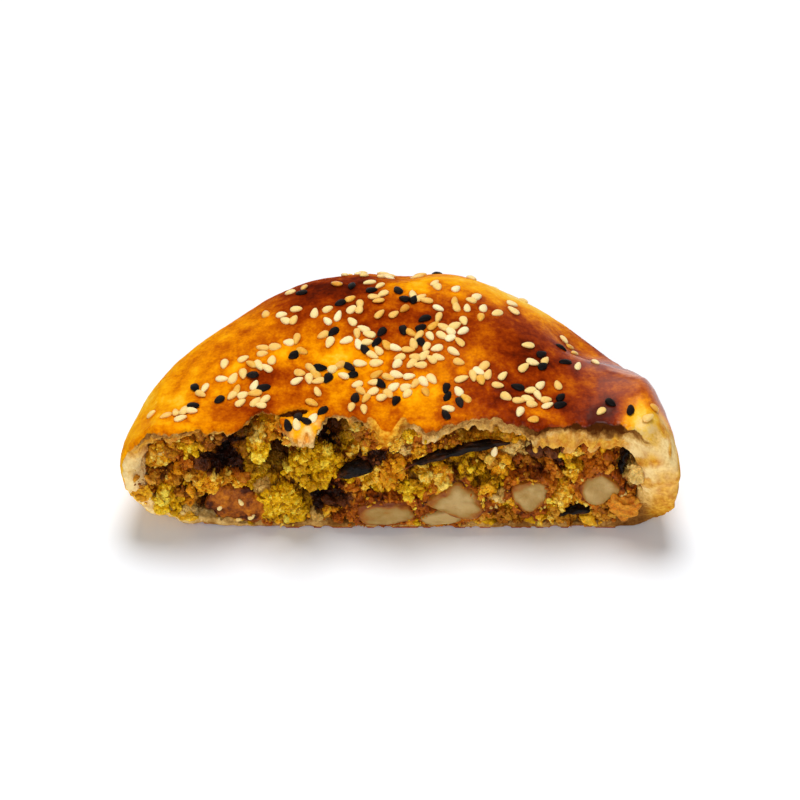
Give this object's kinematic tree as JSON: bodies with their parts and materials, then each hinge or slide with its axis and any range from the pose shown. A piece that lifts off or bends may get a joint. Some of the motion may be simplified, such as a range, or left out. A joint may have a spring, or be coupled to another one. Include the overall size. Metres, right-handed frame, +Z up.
{
  "type": "half falafel pie",
  "caption": "Half of a round domed pastry pie, broken open, with a glazed seeded crust round a crumbly falafel filling with chickpeas and roasted aubergine.",
  "frame": {"origin": "on the underside, below the middle of the half pie's bounding box", "axes": "+X along the broken side, towards the thick cheek of crust; +Y from the broken side towards the round back; +Z up"},
  "size_m": [0.134, 0.0737, 0.0433],
  "materials": {
    "crust": "egg-glazed baked pastry",
    "filling": "moist crumb",
    "chickpea": "cooked and moist",
    "aubergine": "roasted and oily",
    "fragment": "browned pastry"
  },
  "bodies": {
    "root": {"crust": "crust", "filling": "filling", "chickpea_1": "chickpea", "chickpea_2": "chickpea", "chickpea_3": "chickpea", "chickpea_4": "chickpea", "chickpea_5": "chickpea", "aubergine_1": "aubergine", "aubergine_2": "aubergine", "aubergine_3": "aubergine", "aubergine_4": "aubergine", "crust_fragment": "fragment"}
  },
  "joints": []
}
